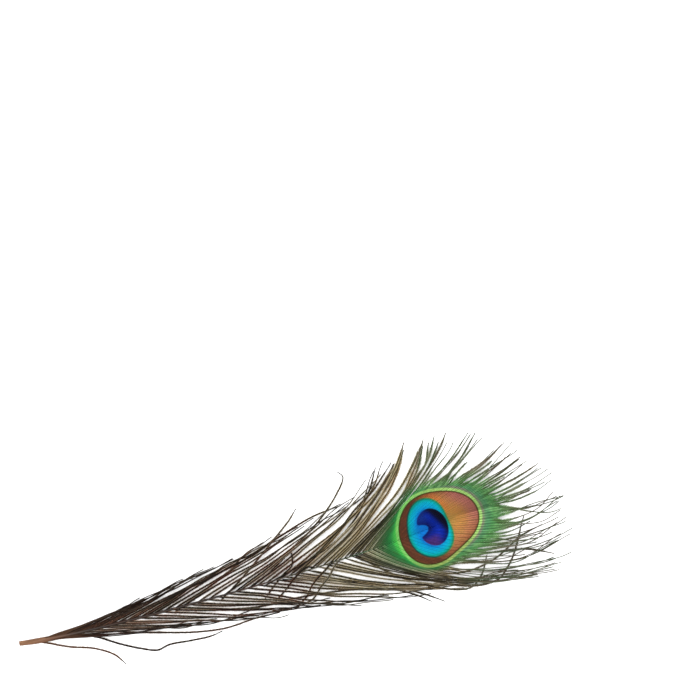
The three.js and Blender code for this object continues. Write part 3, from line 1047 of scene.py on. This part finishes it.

# Each runs through listed places in millimetres: along the feather, across it
STRAYS = {
    "below_the_quill": [(-8, 0.4), (-2, -1.8), (9, -6.8), (20.5, -11), (29, -17), (33, -23)],
    "kinked": [
        (14, -1.6), (24, -6.6), (33, -12.2), (42, -17), (50.5, -20.4), (57, -19.5), (67, -20.6),
        (78, -21.4), (84, -20.6)],
    "folded_back": [
        (104, -3.4), (116, 2), (125.6, 7.4), (127.7, 8), (128, 6.6), (126.4, 1.6), (120.8, -1.8),
        (113.5, -7.2), (108.4, -11.3)],
    "bent_back": [(137, -2.6), (133.6, -1.2), (127.3, -3.9), (121, -8.6), (113, -14.2)],
    "bent_back_low": [(147, -1.9), (142.6, -4.6), (134.3, -9.9), (129, -15.6), (123, -19.4)],
    "bent_back_lower": [
        (151, -1.6), (147, -4.4), (142.4, -9), (137.5, -12.5), (132.2, -17.3), (126.4, -19.2)],
    "across_the_fringe": [
        (166, -2.8), (182, -18), (200, -29), (214, -33.4), (224, -32.8), (228.4, -29.6),
        (232.4, -25.8), (237.6, -18.6), (242.6, -9.8), (244.6, -6.8)],
    "across_by_the_eye": [
        (158, -2), (176, -18), (194, -29), (208, -33.4), (213.4, -31.5), (217.6, -27.2),
        (221.4, -20.6)],
    "steep_by_the_middle": [(88, -5.2), (98, 0.6), (110, 8.6), (122, 17), (131, 23.4), (136, 28)],
    "across_the_upper_side": [(64, -4.9), (82, 1.8), (102, 10), (124, 17), (143, 22), (158, 23.4)],
    "shallow_by_the_eye": [(110, -4.6), (130, 0.4), (150, 7), (164, 16), (174, 27), (180, 37)],
    "tangled_low": [(172, -2.6), (188, -18), (206, -24.6), (224, -23), (240, -16), (252, -13.4)],
    "tangled_high": [(186, -1.6), (204, -17), (222, -19), (240, -22.4), (254, -29)],
    "upper_hook": [(96, -3.2), (120, 6), (142, 17), (158, 30), (163, 37), (161, 40)],
    "end_below_the_eye": [(120, -4), (150, -13), (172, -22), (186, -30.5), (195, -37)],
    "beside_that_end": [(124, -3.9), (153, -14.6), (171, -22.9), (182, -29.8), (188.5, -35.2)],
    "bowed_below": [
        (22, -1.9), (40, -8.4), (56, -13), (71, -17), (86, -19.4), (102, -19), (114, -19.6)],
    "along_the_lower_side": [
        (66, -3.1), (82, -8.4), (103.5, -13.4), (127, -14.8), (147, -17.6), (166, -22)],
}


def through(places, count):
    """A smooth line through given places, evenly filled."""
    known = np.array(places, dtype=float)
    steps = np.linalg.norm(np.diff(known, axis=0), axis=1)
    at = np.concatenate([[0.0], np.cumsum(np.sqrt(steps))])
    return smooth_curve(at, known, np.linspace(0.0, at[-1], count))


def make_stray_barbs(material):
    rng = np.random.default_rng(STRAY_SEED)
    bundle = Bundle("stray_barbs", len(STRAYS))
    for row, places in enumerate(STRAYS.values()):
        plan = through(places, LOOSE_POINTS)
        along = np.linspace(0.0, 1.0, len(plan))
        start = float(shaft_height(places[0][0]))
        above = STRAY_HEIGHT + start
        height = mix(start, above, smoothstep(0.0, 0.4, along))
        height = height - (above - STRAY_TIP_HEIGHT) * smoothstep(0.5, 1.0, along)
        path = np.concatenate([plan, height[:, None]], axis=1)
        barb = rng.uniform()
        add_rib(bundle, path, row, barb, STRAY_RIB_ROOT)
        add_barbules(
            bundle, path, row, barb, rng, LOOSE_PITCH,
            lambda along, side: STRAY_BARBULE * smoothstep(0.0, 0.1, along) * tip_taper(along),
            lambda along: mix(*STRAY_ANGLES, along), LOOSE_BLADE, LOOSE_TWIST)
    return bundle.build(material)


stray_barbs = make_stray_barbs(barb_material("stray_barbs", STRAY_DEPTH))
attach(stray_barbs, "root")

# ---------- The surface, the light and the camera ----------
# A plain white table under soft daylight from all round, seen from straight above with the
# quill at the lower left of the view.

FLOOR_SIZE = 6.0
FLOOR_DROP = 0.0002
floor_bm = bmesh.new()
bmesh.ops.create_grid(floor_bm, x_segments=1, y_segments=1, size=FLOOR_SIZE / 2)
floor_mesh = bpy.data.meshes.new("floor")
floor_bm.to_mesh(floor_mesh)
floor_bm.free()
floor_mesh.transform(Matrix.Translation((0.0, 0.0, -FLOOR_DROP)))
floor_material, floor_tree, floor_shader = new_material("white_table")
feed(floor_tree, floor_shader, {
    "Base Color": (0.92, 0.92, 0.92, 1.0), "Roughness": 0.9, "Specular IOR Level": 0.35})
floor_mesh.materials.append(floor_material)
floor = put_in_scene("floor", floor_mesh)

world = bpy.data.worlds.new("daylight")
world.use_nodes = True
daylight = world.node_tree.nodes["Background"]
feed(world.node_tree, daylight, {"Color": (1.0, 1.0, 1.0, 1.0), "Strength": 1.0})
bpy.context.scene.world = world


def soft_light(name, place, aim, size, power):
    light = bpy.data.lights.new(name, "AREA")
    light.shape = "DISK"
    light.size = size
    light.energy = power
    lamp = put_in_scene(name, light)
    lamp.location = place
    lamp.rotation_mode = "QUATERNION"
    lamp.rotation_quaternion = (Vector(aim) - Vector(place)).to_track_quat("-Z", "Y")


soft_light("window", place=(0.05, 0.42, 1.25), aim=(0.13, 0.0, 0.0), size=0.8, power=20.0)
soft_light("fill", place=(0.4, -0.35, 1.0), aim=(0.15, 0.0, 0.0), size=0.9, power=6.0)

# The feather's line is turned in the view, which is this wide at the table
VIEW_WIDTH = 0.340
VIEW_HEIGHT = 0.700
VIEW_MIDDLE = (0.1805, 0.1030)
VIEW_TURN = math.radians(16.0)
SENSOR_WIDTH = 36.0
camera_data = bpy.data.cameras.new("camera")
camera_data.sensor_width = SENSOR_WIDTH
camera_data.lens = SENSOR_WIDTH * VIEW_HEIGHT / VIEW_WIDTH
camera = put_in_scene("camera", camera_data)
camera.location = (*VIEW_MIDDLE, VIEW_HEIGHT)
camera.rotation_euler = (0.0, 0.0, -VIEW_TURN)
bpy.context.scene.camera = camera
bpy.context.scene.view_settings.view_transform = "Standard"
